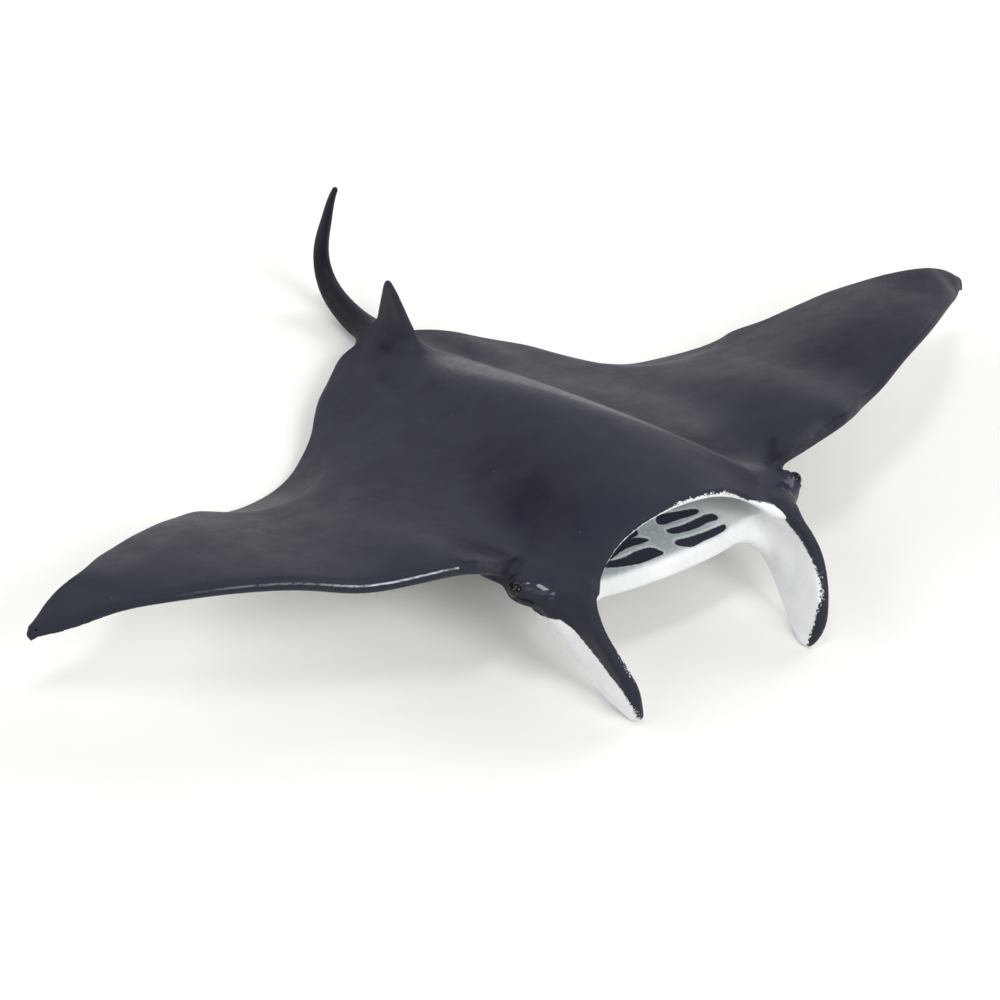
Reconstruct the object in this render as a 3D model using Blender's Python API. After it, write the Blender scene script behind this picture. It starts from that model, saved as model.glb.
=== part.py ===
"""Manta ray figure: a solid moulded, hand-painted plastic animal about a palm wide.

The animal is shaped whole, as one rounded body, then parted with thin cuts into
the pieces a person would name.  Shapes are worked out in the figure's own body
frame: x across (left positive), F forward, z up, in millimetres, with the origin
on the midline between the wing tips.  The finished body is tipped nose up so that
it rests on the tips of the two cephalic fins and on the lowest point of each
wing's rear edge, and is written in metres with +Z up and the head towards -Y.
"""
import math

import bmesh
import bpy
import numpy as np
from mathutils import Matrix, Vector

# ------------------------------------------------------------------ dimensions
MM = 0.001                # the figure is dimensioned in millimetres
WINGSPAN = 180.0          # tip to tip
HALF = WINGSPAN / 2
NOSE_UP_DEG = 12.726      # how far the figure is tipped back on its rests
FORWARD_SHIFT = -7.714    # puts the middle of the length on the origin
REST_DEPTH = 12.348        # how far the rests are below the origin once tipped
FLAT = 0.25               # how much is taken off each rest to leave a small flat
REST_LIFT = REST_DEPTH - FLAT
CUT = 0.30                # width of the cuts between pieces
EYE_AT = (26.40, 30.35, -3.40)
EYE_RADIUS = 1.20
EYE_SOCKET = EYE_RADIUS + 0.30
EDGE_REAR, EDGE_FRONT = 0.50, 0.85      # rounding radius of the wing edges
LIP_SHELL = 1.5           # thickness of the hood over the mouth, at the lip
MOUTH_DEEP_TO = 21.5      # where the mouth ends, forward of the origin
GRID = 0.60               # sampling step of the body surface
FACES_LEFT = 0.0446        # part of the sampled faces that the solids keep


# ------------------------------------------------------------------ small tools
def curve(stations, values):
    """Natural cubic curve through a value at each station."""
    x = np.asarray(stations, float)
    y = np.asarray(values, float)
    n = len(x)
    h = np.diff(x)
    a = np.zeros((n, n))
    r = np.zeros(n)
    a[0, 0] = a[-1, -1] = 1
    for i in range(1, n - 1):
        a[i, i - 1], a[i, i], a[i, i + 1] = h[i - 1], 2 * (h[i - 1] + h[i]), h[i]
        r[i] = 6 * ((y[i + 1] - y[i]) / h[i] - (y[i] - y[i - 1]) / h[i - 1])
    m = np.linalg.solve(a, r)

    def value(q):
        q = np.clip(np.asarray(q, float), x[0], x[-1])
        i = np.clip(np.searchsorted(x, q) - 1, 0, n - 2)
        u = (x[i + 1] - q) / h[i]
        v = (q - x[i]) / h[i]
        return (u * y[i] + v * y[i + 1]
                + ((u ** 3 - u) * m[i] + (v ** 3 - v) * m[i + 1]) * h[i] ** 2 / 6)

    return value


def join(a, b, k):
    """Union of two bodies with a fillet of size k."""
    h = np.clip(0.5 + 0.5 * (b - a) / k, 0, 1)
    return b * (1 - h) + a * h - k * h * (1 - h)


def common(a, b, k):
    """Common part of two bodies, its edge rounded by k."""
    return -join(-a, -b, k)


def ease(t):
    t = np.clip(t, 0, 1)
    return t * t * (3 - 2 * t)


def rounded_loop(corners, n):
    """Closed outline that passes smoothly through its corners."""
    p = np.asarray(corners, float)
    out = []
    for i in range(len(p)):
        a, b, c, d = p[i - 1], p[i], p[(i + 1) % len(p)], p[(i + 2) % len(p)]
        for t in np.arange(n) / n:
            out.append(0.5 * (2 * b + (c - a) * t + (2 * a - 5 * b + 4 * c - d) * t * t
                              + (3 * b - a - 3 * c + d) * t ** 3))
    return np.array(out)


def inside_outline(px, py, loop):
    """Distance to an outline, negative inside it."""
    d = np.full(np.broadcast(px, py).shape, 1e9)
    s = np.zeros(d.shape, bool)
    for i in range(len(loop)):
        (ax, ay), (bx, by) = loop[i - 1], loop[i]
        ex, ey, wx, wy = bx - ax, by - ay, px - ax, py - ay
        t = np.clip((wx * ex + wy * ey) / (ex * ex + ey * ey), 0, 1)
        d = np.minimum(d, (wx - ex * t) ** 2 + (wy - ey * t) ** 2)
        if ey != 0:
            s ^= (((ay <= py) & (by > py)) | ((by <= py) & (ay > py))) \
                & (px < ax + (py - ay) * ex / ey)
    d = np.sqrt(d)
    return np.where(s, -d, d)


# ------------------------------------------------------------------ wings
# Front and rear edge of a wing, and the height of each, by distance from the midline.
FRONT_EDGE = curve([0, 16, 24, 28, 32, 35, 38, 41, 44, 50, 56, 62, 68, 74, 80, 84, 87, 89, 90],
                   [22, 24, 27, 28.6, 30.3, 31.2, 30.4, 28.6, 26.4, 24.1, 22.2, 20.0, 16.9, 12.8, 8.15, 4.2, 1.65, 0.0, -0.7])
FRONT_LEVEL = curve([0, 16, 24, 28, 32, 35, 38, 41, 44, 50, 56, 62, 68, 74, 80, 84, 87, 89, 90],
                    [-2.4, -2.4, -1.6, 0.0, 2.3, 3.8, 4.0, 3.4, 2.6, 3.0, 4.8, 5.9, 6.0, 5.2, 3.5, 1.15, 0.25, -0.1, -0.4])
REAR_EDGE = curve([0, 4, 8, 12, 16, 20, 24, 28, 32, 36, 44, 52, 60, 68, 76, 80, 84, 87, 89, 90],
                  [-47.6, -47.8, -46.3, -42.8, -39.3, -35, -31.2, -28.1, -25.6, -24.4, -20.9, -17.8, -14.5, -10.7, -5.3, -1.7, -1.2, -1.25, -1.2, -1.3])
REAR_LEVEL = curve([0, 4, 8, 12, 16, 20, 24, 28, 32, 36, 40, 44, 48, 52, 56, 60, 64, 68, 72, 76, 80, 84, 87, 89, 90],
                   [0.5, 0.6, 0.7, 0.4, -1.0, -2.2, -3.6, -5.0, -6.0, -6.8, -6.5, -5.7, -4.6, -3.1, -1.8, -0.3, 0.9, 2.0, 2.9, 4.3, 5.4, 4.35, 2.5, 0.8, 0.05])
HALF_THICK = curve([0, 10, 20, 30, 40, 50, 60, 70, 80, 86, 88.5, 90],
                   [2.6, 2.6, 2.7, 2.7, 2.5, 2.1, 1.75, 1.45, 1.15, 0.95, 0.85, 0.75])
CAMBER = curve([0, 25, 40, 60, 80, 90],
               [0.0, 0.6, 1.0, 0.8, 0.3, 0.0])


def wing(a, f, z):
    lead, trail, zl, zt = FRONT_EDGE(a), REAR_EDGE(a), FRONT_LEVEL(a), REAR_LEVEL(a)
    chord = np.maximum(lead - trail, 0.3)
    sweep_l = (FRONT_EDGE(a + .25) - FRONT_EDGE(a - .25)) / .5
    sweep_t = (REAR_EDGE(a + .25) - REAR_EDGE(a - .25)) / .5
    s = np.clip((lead - f) / chord, 0, 1)
    out = np.maximum((f - lead) / np.sqrt(1 + sweep_l ** 2),
                     (trail - f) / np.sqrt(1 + sweep_t ** 2))
    out = np.maximum(out, a - HALF)
    r = EDGE_REAR + (EDGE_FRONT - EDGE_REAR) * (1 - s) ** 2
    mid = zl + (zt - zl) * s + CAMBER(a) * 4 * s * (1 - s)
    half = r + (np.maximum(HALF_THICK(a), r) - r) * 2.6 * np.sqrt(s) * (1 - s)
    n = (z - mid) / np.sqrt(1 + ((zl - zt) / chord) ** 2)
    return np.sqrt(np.maximum(out + r, 0) ** 2 + n ** 2) - half


# ------------------------------------------------------------------ trunk and head
# A bell-shaped back over a flat belly, by stations along the body.
STATIONS = [-52, -48, -44, -38, -34, -30, -20, -10, 0, 10, 20, 26, 31, 36, 40]
RIDGE = curve(STATIONS,
              [1.0, 1.7, 2.6, 3.9, 4.7, 5.5, 7.1, 8.4, 9.1, 9.0, 8.0, 6.95, 5.8, 4.3, 3.2])
FOOT = curve(STATIONS,
             [-2, -2, -2, -2, -2, -2, -2.2, -2.4, -2.6, -3, -4, -5.5, -6.5, -7.0, -7.5])
BACK_WIDE = curve(STATIONS,
                  [5, 5.5, 6, 6, 6, 6, 7.2, 9.4, 12.4, 15.6, 18.8, 20.8, 20.6, 18.1, 17.0])
BACK_POWER = curve(STATIONS,
                   [2, 2, 2, 2, 2, 2, 2, 2.1, 2.2, 2.4, 2.6, 2.7, 2.8, 2.8, 2.8])
KEEL = curve(STATIONS,
             [0.0, -0.6, -1.2, -2.1, -2.7, -3.4, -5.2, -6.9, -8.2, -9.2, -9.8, -9.8, -9.4, -8.6, -8.2])
BELLY_WIDE = curve(STATIONS,
                   [6, 7.5, 9, 11, 12.5, 14, 17, 20, 22.5, 25, 26.6, 26.6, 26.0, 22.5, 20])
HOOD_FRONT = curve([0, 8, 13, 16, 18, 20, 22, 24, 26, 28, 31, 36],
                   [35.6, 35.7, 36.0, 37.2, 38.4, 38.2, 36.8, 35.0, 33.0, 30.6, 27, 22])
JAW_FRONT = curve([0, 8, 12, 16, 20, 26, 30],
                  [34.8, 34.2, 33.5, 32.8, 32.0, 30, 28])


def back(a, f):
    a = np.abs(a)
    return FOOT(f) + (RIDGE(f) - FOOT(f)) * np.exp(-(a / BACK_WIDE(f)) ** BACK_POWER(f))


def belly(a, f):
    a = np.abs(a)
    return -1.0 + (KEEL(f) + 1.0) * np.exp(-(a / BELLY_WIDE(f)) ** 5)


def trunk(a, f, z):
    e = .3
    zt, zb = back(a, f), belly(a, f)
    sx = (back(a + e, f) - back(a - e, f)) / (2 * e)
    sf = (back(a, f + e) - back(a, f - e)) / (2 * e)
    bx = (belly(a + e, f) - belly(a - e, f)) / (2 * e)
    d = common((z - zt) / np.sqrt(1 + sx * sx + sf * sf), (zb - z) / np.sqrt(1 + bx * bx), 1.6)
    soft = 3.2 * ease((np.abs(a) - 17.5) / 3)       # the lip fades into the cheek
    lip = JAW_FRONT(a) + (HOOD_FRONT(a) - JAW_FRONT(a)) * ease((z + 5.6 + soft) / (2.2 + 2 * soft))
    d = common(d, (f - lip) * 0.9, 1.0)
    return common(d, -49.5 - f, 1.5)


def mouth(a, f, z):
    e = .3
    roof = back(a, f) - LIP_SHELL - 0.10 * (36 - f)
    sx = (back(a + e, f) - back(a - e, f)) / (2 * e)
    floor = -5.5 + 0.22 * (34.5 - f) + 0.004 * np.maximum(a - 8, 0) ** 2
    d = common((z - roof) / np.sqrt(1 + sx * sx), floor - z, 1.2)
    d = common(d, a - (16.9 - 0.004 * (36 - f) ** 2), 2.0)
    return common(d, (MOUTH_DEEP_TO + 0.012 * a * a) - f, 3.0)


# ------------------------------------------------------------------ fins, tail, eyes
# Outlines in the midline plane, as (F, z); the tail also has its radius at each point.
CEPHALIC = rounded_loop([(33.5, -3.0), (36.7, -1.9), (38.9, -2.9), (41.7, -6), (44.9, -10), (47.1, -14), (47.8, -18), (46.8, -21.6), (45.1, -22.75), (42.3, -21.9), (38.9, -19.8), (34.6, -16.2), (31.0, -13.6), (28, -11.2), (25.5, -8), (28, -4.5)], 4)
CEPHALIC_AT = curve([-22, -20, -16, -12, -8, -4, 0, 4],
                    [16.6, 17.4, 18.25, 19.3, 20.0, 19.4, 18.4, 17.6])
DORSAL = rounded_loop([(-32.6, 3.2), (-34.2, 4.9), (-37.2, 8.4), (-40.2, 12.2), (-42.3, 13.9), (-43.3, 13.2), (-44.0, 11.6), (-45.0, 9.0), (-46.1, 6), (-47.6, 2.4), (-46, 0), (-36, 0)], 4)
TAIL_LINE = [(-44, 2.2, 2.5), (-48.5, 2.15, 2.4), (-53, 2.35, 2.3), (-57.6, 3.5, 2.1), (-61.9, 6.0, 1.8), (-63.7, 9.5, 1.5), (-63.2, 14, 1.25), (-60.9, 19, 0.95), (-58.2, 24.2, 0.6), (-57.2, 25.6, 0.5)]
along = np.r_[0, np.cumsum(np.hypot(*np.diff(np.array(TAIL_LINE)[:, :2], axis=0).T))]
TAIL = np.stack([curve(along, [p[k] for p in TAIL_LINE])(np.linspace(0, along[-1], 26))
                 for k in range(3)], 1)


def cephalic_fin(a, f, z):
    half = 0.5 + 0.65 * np.clip((f - 27) / 20, 0, 1)
    n = a - (CEPHALIC_AT(z) - 0.07 * (f - 45) * ease((-z - 2) / 8))
    return np.sqrt(np.maximum(inside_outline(f, z, CEPHALIC) + half, 0) ** 2 + n ** 2) - half


def dorsal_fin(a, f, z):
    half = 0.5 + 0.45 * np.clip((13 - z) / 10, 0, 1)
    return np.sqrt(np.maximum(inside_outline(f, z, DORSAL) + half, 0) ** 2 + a ** 2) - half


def tail(a, f, z):
    d = np.full(np.broadcast(a, f, z).shape, 1e9)
    for p, q in zip(TAIL[:-1], TAIL[1:]):
        ex, ey, wx, wy = q[0] - p[0], q[1] - p[1], f - p[0], z - p[1]
        t = np.clip((wx * ex + wy * ey) / (ex * ex + ey * ey), 0, 1)
        d = np.minimum(d, np.sqrt((wx - ex * t) ** 2 + (wy - ey * t) ** 2 + a * a)
                       - (p[2] + (q[2] - p[2]) * t))
    return d


def rod(a, f, z, p, q, rp, rq):
    """A round-ended rod from p to q whose radius changes along it."""
    e = np.subtract(q, p)
    t = np.clip(((a - p[0]) * e[0] + (f - p[1]) * e[1] + (z - p[2]) * e[2]) / (e @ e), 0, 1)
    return np.sqrt((a - p[0] - e[0] * t) ** 2 + (f - p[1] - e[1] * t) ** 2
                   + (z - p[2] - e[2] * t) ** 2) - (rp + (rq - rp) * t)


MOUND = (24.6, 30.2, -4.05)
CHEEK = [(MOUND, (20.8, 33.8, -8.0), 1.7, 1.0), ((20.8, 33.8, -8.0), (19.2, 37.6, -13.5), 1.0, 0.4),
         (MOUND, (19.7, 36.2, -4.9), 1.7, 1.3), ((21.9, 29.2, -3.1), (19.2, 35.8, -3.4), 1.3, 1.3),
         ((14.5, 30.8, -7.0), (18.8, 32.2, -10.4), 1.7, 2.0)]


def cheek(a, f, z):
    """The mound that the eye sits in, and the flesh from it to the fin and the jaw."""
    d = rod(a, f, z, *CHEEK[0])
    for piece in CHEEK[1:]:
        d = join(d, rod(a, f, z, *piece), 2.0)
    return d


def body(x, f, z):
    """Negative inside the whole animal, zero on its skin."""
    a = np.abs(x)
    d = join(wing(a, f, z), trunk(a, f, z), 3.0)
    d = join(join(d, cheek(a, f, z), 2.5), cephalic_fin(a, f, z), 3.0)
    d = common(d, -mouth(a, f, z), 0.9)
    d = join(d, dorsal_fin(a, f, z), 1.6)
    return join(d, tail(a, f, z), 2.2)


# ------------------------------------------------------------------ surface
def sampled_body():
    """Distances on a grid, the costly parts only where they matter."""
    h = GRID
    xs = (np.arange(int(round((HALF + 2.5) / h))) + 0.5) * h
    fs = np.arange(-68, 51 + h, h)
    zs = np.arange(-24, 28 + h, h)
    a, f, z = xs[:, None, None], fs[None, :, None], zs[None, None, :]
    v = np.array(join(wing(a, f, z), trunk(a, f, z), 3.0))

    def refine(x1, f0, f1, rule):
        i = int((xs < x1).sum())
        j0, j1 = int((fs <= f0).sum()), int((fs < f1).sum())
        v[:i, j0:j1] = rule(v[:i, j0:j1], a[:i], f[:, j0:j1], z)

    refine(36, 8, 52, lambda b, p, q, r: common(
        join(join(b, cheek(p, q, r), 2.5), cephalic_fin(p, q, r), 3.0), -mouth(p, q, r), 0.9))
    refine(9, -70, -25, lambda b, p, q, r: join(
        join(b, dorsal_fin(p, q, r), 1.6), tail(p, q, r), 2.2))
    return np.concatenate([v[::-1], v]), np.concatenate([-xs[::-1], xs]), fs, zs


def settle(v):
    """Where the grid is too coarse to tell which way a thin edge joins, join it."""
    for _ in range(8):
        changed = 0
        for p, q in ((0, 1), (0, 2), (1, 2)):
            w = np.moveaxis(v, (p, q), (0, 1))
            c = {(i, j): w[i:w.shape[0] - 1 + i, j:w.shape[1] - 1 + j]
                 for i in (0, 1) for j in (0, 1)}
            for u in ((0, 0), (0, 1)):
                opposite = (1 - u[0], 1 - u[1])
                m, n = (1 - u[0], u[1]), (u[0], 1 - u[1])
                bad = (c[u] < 0) & (c[opposite] < 0) & (c[m] >= 0) & (c[n] >= 0)
                first = bad & (c[m] <= c[n])
                c[m][first] = -0.05
                c[n][bad & ~first & (c[n] >= 0)] = -0.05
                changed += int(bad.sum())
        if not changed:
            return


def skin(v, xs, fs, zs, passes=4):
    """One point in each cell that the skin crosses, drawn onto the skin itself."""
    settle(v)
    inside = v < 0
    nx, ny, nz = v.shape
    n_in = np.zeros((nx - 1, ny - 1, nz - 1), np.uint8)
    for i in (0, 1):
        for j in (0, 1):
            for k in (0, 1):
                n_in += inside[i:nx - 1 + i, j:ny - 1 + j, k:nz - 1 + k]
    cells = (n_in > 0) & (n_in < 8)
    number = np.full(cells.shape, -1, np.int64)
    number[cells] = np.arange(int(cells.sum()))
    ci, cj, ck = np.nonzero(cells)
    corners = [(i, j, k) for k in (0, 1) for j in (0, 1) for i in (0, 1)]
    edges = [(p, q) for p in range(8) for q in range(p + 1, 8)
             if sum(abs(s - t) for s, t in zip(corners[p], corners[q])) == 1]
    val = [v[ci + i, cj + j, ck + k] for i, j, k in corners]
    total, count = np.zeros((len(ci), 3)), np.zeros(len(ci))
    for p, q in edges:
        crossed = (val[p] < 0) != (val[q] < 0)
        t = np.where(crossed, val[p] / np.where(crossed, val[p] - val[q], 1), 0)
        a, b = np.array(corners[p]), np.array(corners[q])
        total += crossed[:, None] * (a + (b - a) * t[:, None])
        count += crossed
    pts = np.stack([xs[ci], fs[cj], zs[ck]], 1) + total / count[:, None] * GRID
    quads = []
    for axis, around in enumerate((((0, -1, -1), (0, 0, -1), (0, 0, 0), (0, -1, 0)),
                                   ((-1, 0, -1), (-1, 0, 0), (0, 0, 0), (0, 0, -1)),
                                   ((-1, -1, 0), (0, -1, 0), (0, 0, 0), (-1, 0, 0)))):
        here = [slice(1, -1)] * 3
        here[axis] = slice(0, -1)
        there = [slice(1, -1)] * 3
        there[axis] = slice(1, None)
        i, j, k = np.nonzero(inside[tuple(here)] != inside[tuple(there)])
        i, j, k = i + (axis != 0), j + (axis != 1), k + (axis != 2)
        ring = np.stack([number[i + s, j + t, k + u] for s, t, u in around], 1)
        flip = inside[i, j, k]      # the body frame is left-handed once F is read as -Y
        ring[flip] = ring[flip][:, ::-1]
        quads.append(ring)
    e = 0.02
    for _ in range(passes):
        d = body(*pts.T)
        grad = np.stack([body(pts[:, 0] + e, pts[:, 1], pts[:, 2]) - body(pts[:, 0] - e, pts[:, 1], pts[:, 2]),
                         body(pts[:, 0], pts[:, 1] + e, pts[:, 2]) - body(pts[:, 0], pts[:, 1] - e, pts[:, 2]),
                         body(pts[:, 0], pts[:, 1], pts[:, 2] + e) - body(pts[:, 0], pts[:, 1], pts[:, 2] - e)],
                        1) / (2 * e)
        step = -(d / np.maximum((grad ** 2).sum(1), 0.05))[:, None] * grad
        size = np.linalg.norm(step, axis=1, keepdims=True)
        pts = pts + step * np.minimum(1, 0.5 * GRID / np.maximum(size, 1e-9))
    return pts, np.concatenate(quads)


def bend_wings(p):
    """The soft wings aren't bent quite alike at the rear hump and at the tips."""
    a, s = np.abs(p[:, 0]), ease((10 - p[:, 1]) / 25)
    q = p.copy()
    q[:, 2] -= np.sign(p[:, 0]) * 1.25 * np.exp(-((a - 57) / 11.5) ** 2) * s
    q[:, 2] += np.sign(p[:, 0]) * 0.5 * ease((a - 82) / 8)
    return q


# ------------------------------------------------------------------ placing
T = math.radians(NOSE_UP_DEG)


def place(p):
    """Body frame in millimetres to the figure's frame in metres."""
    p = np.atleast_2d(np.asarray(p, float))
    f = p[:, 1] * math.cos(T) - p[:, 2] * math.sin(T)
    z = p[:, 1] * math.sin(T) + p[:, 2] * math.cos(T)
    return np.stack([p[:, 0], -(f - FORWARD_SHIFT), z + REST_LIFT], 1) * MM


def solid(name, verts, faces):
    mesh = bpy.data.meshes.new(name)
    mesh.from_pydata([tuple(v) for v in verts], [], [tuple(int(i) for i in q) for q in faces])
    mesh.update()
    ob = bpy.data.objects.new(name, mesh)
    bpy.context.scene.collection.objects.link(ob)
    return ob


def block(name, x0, x1, f0, f1, z0, z1, slope=0.0, flat=False):
    """A six-sided cutter in the body frame; slope tilts its top and bottom along F."""
    c = []
    for x in (x0, x1):
        for f in (f0, f1):
            for z in (z0, z1):
                c.append((x, f, z + slope * f))
    v = np.array(c) if flat else place(c)
    # corner order: x, then F, then z ; F runs towards -Y
    q = [(0, 1, 3, 2), (4, 6, 7, 5), (0, 4, 5, 1), (2, 3, 7, 6), (0, 2, 6, 4), (1, 5, 7, 3)]
    if flat:
        q = [tuple(reversed(k)) for k in q]
    ob = solid(name, v, [tuple(reversed(k)) for k in q])
    bm = bmesh.new()
    bm.from_mesh(ob.data)
    bmesh.ops.recalc_face_normals(bm, faces=bm.faces)
    bm.to_mesh(ob.data)
    bm.free()
    ob.hide_render = True
    ob.display_type = 'WIRE'
    return ob


def apply_modifiers(ob):
    """Keep what the modifiers make, and drop them."""
    deps = bpy.context.evaluated_depsgraph_get()
    deps.update()
    mesh = bpy.data.meshes.new_from_object(ob.evaluated_get(deps), depsgraph=deps)
    ob.modifiers.clear()
    ob.data = mesh


def boolean(ob, cutter, operation):
    m = ob.modifiers.new(operation.title(), 'BOOLEAN')
    m.object, m.operation, m.solver = cutter, operation, 'EXACT'
    apply_modifiers(ob)


def paint(name, rgb, roughness, metallic=0.0):
    m = bpy.data.materials.new(name)
    m.use_nodes = True
    b = m.node_tree.nodes["Principled BSDF"]
    b.inputs["Base Color"].default_value = (*rgb, 1)
    b.inputs["Roughness"].default_value = roughness
    b.inputs["Metallic"].default_value = metallic
    return m


def finish(ob, name, material):
    bm = bmesh.new()
    bm.from_mesh(ob.data)
    bmesh.ops.remove_doubles(bm, verts=bm.verts, dist=0.000004)
    bmesh.ops.dissolve_degenerate(bm, edges=bm.edges, dist=0.000004)
    # crumbs left by a cut are dropped: the piece is its largest body
    seen, best = set(), []
    for v in bm.verts:
        if v.index in seen:
            continue
        group, todo = [], [v]
        seen.add(v.index)
        while todo:
            w = todo.pop()
            group.append(w)
            for e in w.link_edges:
                o = e.other_vert(w)
                if o.index not in seen:
                    seen.add(o.index)
                    todo.append(o)
        if len(group) > len(best):
            best = group
    keep = set(best)
    bmesh.ops.delete(bm, geom=[v for v in bm.verts if v not in keep], context='VERTS')
    bmesh.ops.triangulate(bm, faces=bm.faces)
    bmesh.ops.recalc_face_normals(bm, faces=bm.faces)
    mesh = bpy.data.meshes.new(name)
    bm.to_mesh(mesh)
    bm.free()
    ob.data = mesh
    ob.name = name
    mesh.materials.clear()
    mesh.materials.append(material)
    mesh.shade_smooth()
    mesh.set_sharp_from_angle(angle=math.radians(40))


# ------------------------------------------------------------------ build
for old in list(bpy.data.objects):
    bpy.data.objects.remove(old, do_unlink=True)

points, faces = skin(*sampled_body())
points = place(bend_wings(points))

whole = solid("whole_animal", points, faces)
dec = whole.modifiers.new("Decimate", 'DECIMATE')
dec.ratio = FACES_LEFT
dec.use_collapse_triangulate = True
apply_modifiers(whole)

# small flats where the figure rests
floor = block("floor_cutter", -0.2, 0.2, -0.2, 0.2, -0.05, 0.0, flat=True)
boolean(whole, floor, 'DIFFERENCE')

slate = paint("slate_blue_paint", (0.045, 0.050, 0.075), 0.42)
pale = paint("white_paint", (0.66, 0.70, 0.72), 0.5)
black = paint("black_gloss", (0.01, 0.01, 0.012), 0.08)

G = CUT / 2
SIDE = 30.0               # where a wing leaves the trunk
NECK = 12.0               # where the head begins
TAIL_ROOT = -50.0
FIN_TOP = 12.4            # the dorsal fin's cut, sloping down to the rear
FIN_SLOPE = 0.185
FIN_BASE = -10.6          # under the head, where the cephalic fins leave it
JAW_SIDE, JAW_BACK, JAW_TOP = 16.35, 22.5, -1.6

pieces = {
    "wing_left": (("keep", SIDE + G, 99, -80, 60, -60, 60, 0.0),),
    "wing_right": (("keep", -99, -SIDE - G, -80, 60, -60, 60, 0.0),),
    "trunk": (("keep", -SIDE + G, SIDE - G, TAIL_ROOT + G, NECK - G, -60, FIN_TOP - G, FIN_SLOPE),),
    "dorsal_fin": (("keep", -SIDE, SIDE, TAIL_ROOT + 2, -28, FIN_TOP + G, 60, FIN_SLOPE),),
    "tail_base": (("keep", -20, 20, -80, TAIL_ROOT - G, -60, 9.5 - G, 0.0),),
    "tail_tip": (("keep", -20, 20, -80, TAIL_ROOT - G, 9.5 + G, 60, 0.0),),
    "head": (("keep", -SIDE + G, SIDE - G, NECK + G, 60, FIN_BASE + G, 60, 0.0),
             ("less", -JAW_SIDE - G, JAW_SIDE + G, JAW_BACK - G, 60, -40, JAW_TOP + G, 0.0)),
    "lower_jaw": (("keep", -JAW_SIDE + G, JAW_SIDE - G, JAW_BACK + G, 60, FIN_BASE + G, JAW_TOP - G, 0.0),),
    "cephalic_fin_left": (("keep", 1, SIDE - G, 15, 60, -60, FIN_BASE - G, 0.0),),
    "cephalic_fin_right": (("keep", -SIDE + G, -1, 15, 60, -60, FIN_BASE - G, 0.0),),
}
for name, steps in pieces.items():
    ob = whole.copy()
    ob.data = whole.data.copy()
    bpy.context.scene.collection.objects.link(ob)
    for kind, *box in steps:
        cutter = block("cutter_" + name, *box[:6], slope=box[6])
        boolean(ob, cutter, 'INTERSECT' if kind == "keep" else 'DIFFERENCE')
        bpy.data.objects.remove(cutter, do_unlink=True)
    if name == "head":
        for side in (1, -1):
            at = place((side * EYE_AT[0], EYE_AT[1], EYE_AT[2]))[0]
            bm = bmesh.new()
            bmesh.ops.create_icosphere(bm, subdivisions=2, radius=EYE_SOCKET * MM,
                                       matrix=Matrix.Translation(Vector(at)))
            me = bpy.data.meshes.new("socket_cutter")
            bm.to_mesh(me)
            bm.free()
            socket = bpy.data.objects.new("socket_cutter", me)
            bpy.context.scene.collection.objects.link(socket)
            boolean(ob, socket, 'DIFFERENCE')
            bpy.data.objects.remove(socket, do_unlink=True)
    finish(ob, name, pale if name == "lower_jaw" else slate)

for name, side in (("eye_left", 1), ("eye_right", -1)):
    at = place((side * EYE_AT[0], EYE_AT[1], EYE_AT[2]))[0]
    bm = bmesh.new()
    bmesh.ops.create_uvsphere(bm, u_segments=16, v_segments=10, radius=EYE_RADIUS * MM)
    me = bpy.data.meshes.new(name)
    bm.to_mesh(me)
    bm.free()
    me.materials.append(black)
    me.shade_smooth()
    eye = bpy.data.objects.new(name, me)
    eye.location = Vector(at)
    bpy.context.scene.collection.objects.link(eye)

bpy.data.objects.remove(whole, do_unlink=True)
bpy.data.objects.remove(floor, do_unlink=True)
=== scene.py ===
import math

import bmesh
import bpy
import numpy as np
from mathutils import Matrix, Vector


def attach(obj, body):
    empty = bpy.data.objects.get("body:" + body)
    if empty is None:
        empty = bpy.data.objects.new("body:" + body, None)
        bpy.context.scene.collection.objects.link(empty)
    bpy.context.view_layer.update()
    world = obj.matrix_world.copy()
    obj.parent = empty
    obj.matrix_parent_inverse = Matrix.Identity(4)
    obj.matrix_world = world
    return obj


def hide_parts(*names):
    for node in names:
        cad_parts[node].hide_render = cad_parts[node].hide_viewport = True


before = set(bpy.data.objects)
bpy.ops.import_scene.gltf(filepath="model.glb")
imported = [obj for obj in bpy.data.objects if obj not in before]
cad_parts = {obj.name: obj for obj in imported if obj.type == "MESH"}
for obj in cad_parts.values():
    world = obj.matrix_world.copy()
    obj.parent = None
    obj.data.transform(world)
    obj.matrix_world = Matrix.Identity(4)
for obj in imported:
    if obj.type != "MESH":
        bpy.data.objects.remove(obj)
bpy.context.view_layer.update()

# One smooth painted skin stands for the figure's ten flesh nodes.  Its shape comes from
# the same body as the solids', sampled finer and with the small relief that only shows.
# Lengths are millimetres in the body frame: x across (left positive), F forward, z up.
MM = 0.001
WINGSPAN = 180.0
HALF = WINGSPAN / 2
NOSE_UP_DEG = 12.726
FORWARD_SHIFT = -7.714
REST_DEPTH = 12.348
FLAT = 0.25
REST_LIFT = REST_DEPTH - FLAT
EYE_AT = (26.40, 30.35, -3.40)
EYE_RADIUS = 1.20
EDGE_REAR, EDGE_FRONT = 0.50, 0.85
LIP_SHELL = 1.5
MOUTH_DEEP_TO = 21.5
GRID = 0.60


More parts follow.
